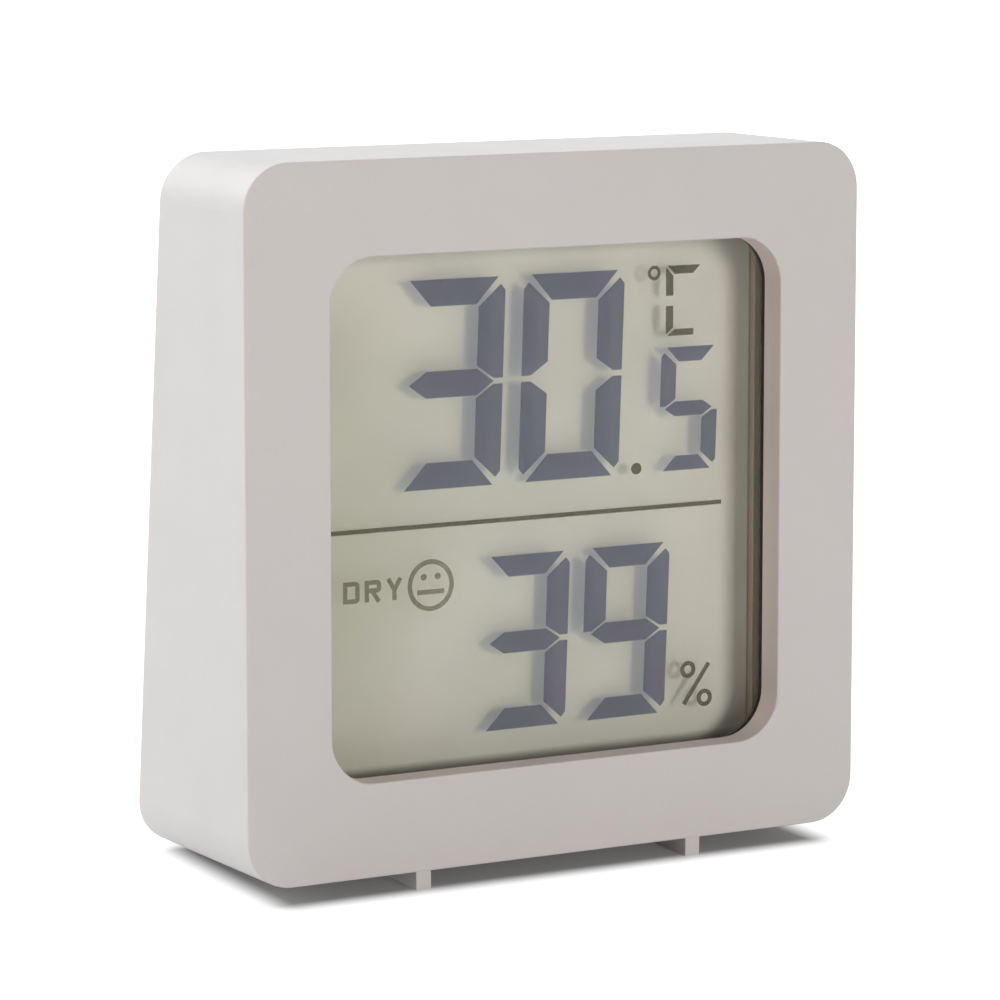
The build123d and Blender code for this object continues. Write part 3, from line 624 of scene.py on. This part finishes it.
def print_on_back(name, strokes, body, material):
    """Thin closed strokes of ink over the back. Each is a line of points and whether it is closed."""
    shape = bmesh.new()
    for points, closed in strokes:
        rings = []
        for one, other in zip(*stroke_sides(points, closed)):
            corners = [(one, 0), (other, 0), (other, print_height), (one, print_height)]
            places = [on_back(place, print_lift + lift) for place, lift in corners]
            rings.append([shape.verts.new(place) for place in places])
        pairs = list(zip(rings, rings[1:] + rings[:1]))
        for first, second in pairs if closed else pairs[:-1]:
            for corner in range(len(first)):
                after = (corner + 1) % len(first)
                shape.faces.new((first[corner], first[after], second[after], second[corner]))
        if not closed:
            shape.faces.new(rings[0][::-1])
            shape.faces.new(rings[-1])
    bmesh.ops.recalc_face_normals(shape, faces=shape.faces)
    mesh = bpy.data.meshes.new(name)
    shape.to_mesh(mesh)
    shape.free()
    mesh.materials.append(material)
    piece = bpy.data.objects.new(name, mesh)
    scene.collection.objects.link(piece)
    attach(piece, body)


def arc(centre, radius, start=0.0, end=360.0, steps=24):
    """Places along an arc, in degrees. A whole circle leaves its last place out."""
    count = steps if end - start == 360 else steps + 1
    turns = [radians(start + (end - start) * step / steps) for step in range(count)]
    return [(centre[0] + radius * cos(turn), centre[1] + radius * sin(turn)) for turn in turns]


def unit_print():
    """Strokes of the two temperature units beside the unit button, with a slash between them."""
    x, y = unit_print_place
    tall = unit_print_height
    half = tall / 2
    degree_y = y + tall - degree_radius
    stem = x + second_letter_at
    return [
        (arc((x + degree_radius, degree_y), degree_radius, steps=degree_steps), True),
        (arc((x + first_letter_at, y + half), half, *first_letter_turn), False),
        ([(x + slash_at[0], y), (x + slash_at[1], y + tall)], False),
        (arc((x + second_degree_at, degree_y), degree_radius, steps=degree_steps), True),
        ([(stem, y), (stem, y + tall), (stem + upper_bar_reach, y + tall)], False),
        ([(stem + print_stroke / 2, y + half), (stem + middle_bar_reach, y + half)], False),
    ]


def lock_print():
    """Strokes that mark where the door's arrow stands when it is locked, and when it is open."""
    locked, opened = radians(locked_turn), radians(locked_turn + door_open_turn)
    ends = (lock_mark_radius - lock_stroke_reach, lock_mark_radius + lock_stroke_reach)
    stroke = [(cos(locked) * end, sin(locked) * end) for end in ends]
    open_place = (cos(opened) * lock_mark_radius, sin(opened) * lock_mark_radius)
    return [(stroke, False), (arc(open_place, lock_ring_radius), True)]


def plus_print():
    """Strokes of the plus sign on the battery door."""
    x, y = plus_place
    gap = print_stroke / 2
    strokes = [([(x - plus_reach, y), (x + plus_reach, y)], False)]
    for side in (-1, 1):
        strokes.append(([(x, y + side * gap), (x, y + side * plus_reach)], False))
    return strokes


def dress(material, *names):
    """Gives the material to CAD nodes."""
    for name in names:
        if not nodes[name].material_slots:
            nodes[name].data.materials.append(material)
        for slot in nodes[name].material_slots:
            slot.material = material


# Casing, button and inner plastic
shell = (0.70, 0.68, 0.672)
# The housing's window recess gets a warmer painted tone for the light there, with painted shade on its
# lower wall
dress(moulded("housing_plastic", shell, recess=(0.76, 0.67, 0.635)), "front_housing")
dress(moulded("cover_plastic", shade(shell, 0.985), 0.2 * mm, 0.005 * mm, (0.5, 0.62)), "rear_cover")
dress(moulded("door_plastic", shade(shell, 0.975), 0.18 * mm, 0.004 * mm, (0.45, 0.58)), "battery_door")
dress(moulded("button_plastic", (0.56, 0.56, 0.555), 0.12 * mm, roughness=(0.38, 0.5)), "unit_button")
# The frame's inner wall gets painted light and shade, pale far inside and dark towards the front
dress(moulded("frame_plastic", (0.34, 0.29, 0.24), tray_painted_light=(0.70, 0.63, 0.54)), "display_frame")
dress(moulded("seal_resin", (0.63, 0.57, 0.48), 0.1 * mm), "glass_seal")
dress(moulded("switch_plastic", (0.03, 0.03, 0.032), 0.1 * mm), "switch_body")
dress(moulded("plunger_plastic", (0.45, 0.28, 0.16), 0.1 * mm), "switch_plunger")
dress(moulded("sensor_body", (0.05, 0.05, 0.055), 0.08 * mm), "sensor")
dress(moulded("black_resin", (0.012, 0.012, 0.014), 0.3 * mm, 0.004 * mm, (0.12, 0.25)),
      "controller_blob")

# Display
dress(clear("clear_window", (0.99, 0.992, 0.985), 1.2, 0.005), "display_window")
dress(clear("clear_adhesive", (0.9, 0.9, 0.86), 1.1, 0.25, (0.2, 0.4)), "window_adhesive")
dress(clear("polarizing_film", (0.996, 0.997, 0.99), 1.02), "front_polarizer", "rear_polarizer")
dress(clear("display_glass", (0.997, 0.998, 0.996), 1.02), "front_glass", "rear_glass")
dress(foam("dark_foam"), "display_gasket")
# The display ground has painted light at its top and right and painted shade along its lower edge
dress(display_ground("reflector_film"), "reflector")
dress(display_ink("display_segments", colour=(0.28, 0.31, 0.33), drift=(0.33, 0.31, 0.38),
                  through=(0.54, 0.57, 0.70), share=0.62, cast=(0.68, 0.71, 0.82)),
      "temperature_digits", "humidity_digits")
dress(display_ink("display_marks", colour=(0.15, 0.145, 0.115), drift=(0.18, 0.17, 0.14),
                  through=(0.75, 0.75, 0.65), share=0.45, cast=(0.6, 0.61, 0.6)),
      "divider_line", "unit_signs")
dress(display_ink("display_faint", colour=(0.19, 0.185, 0.15), drift=(0.21, 0.2, 0.17),
                  through=(0.85, 0.85, 0.78), share=0.64, cast=(0.92, 0.92, 0.9)),
      "comfort_symbol", "state_word")
dress(striped_rubber("strip_rubber"), "contact_strip")

# Board
tin = (0.75, 0.74, 0.72)
dress(laminate("board_laminate"), "circuit_board")
dress(banded("capacitor_ceramic", (0.42, 0.27, 0.15), tin, axis="X", pitch=3 * mm, offset=-8.5 * mm,
             half_length=1 * mm, end_length=0.4 * mm), "capacitors")
dress(banded("resistor_black", (0.02, 0.02, 0.022), tin, axis="Z", pitch=4 * mm, offset=9.0 * mm,
             half_length=0.8 * mm, end_length=0.3 * mm), "resistors")

# Metal
dress(metal("crystal_can", (0.72, 0.71, 0.68), grain=(1, 1, 0.1)), "crystal")
dress(metal("screw_steel", (0.62, 0.62, 0.63)), "case_screws", "board_screws")
dress(metal("cell_steel", (0.70, 0.70, 0.69), (0.2, 0.32), (0.08, 1, 1)), "coin_cell")
dress(metal("contact_metal", (0.74, 0.72, 0.66), (0.18, 0.3), (1, 1, 0.1)), "negative_contact",
      "positive_contact")

# Prints on the back
ink = moulded("print_ink", (0.10, 0.10, 0.105), 0.08 * mm, 0.002 * mm, (0.5, 0.65))
print_on_back("unit_print", unit_print(), "casing", ink)
print_on_back("lock_print", lock_print(), "casing", ink)
print_on_back("plus_print", plus_print(), "battery_door", ink)

make_camera()
make_world()
make_floor()
for lamp in lamps:
    add_lamp(*lamp)
scene.cycles.transparent_max_bounces = clear_passes
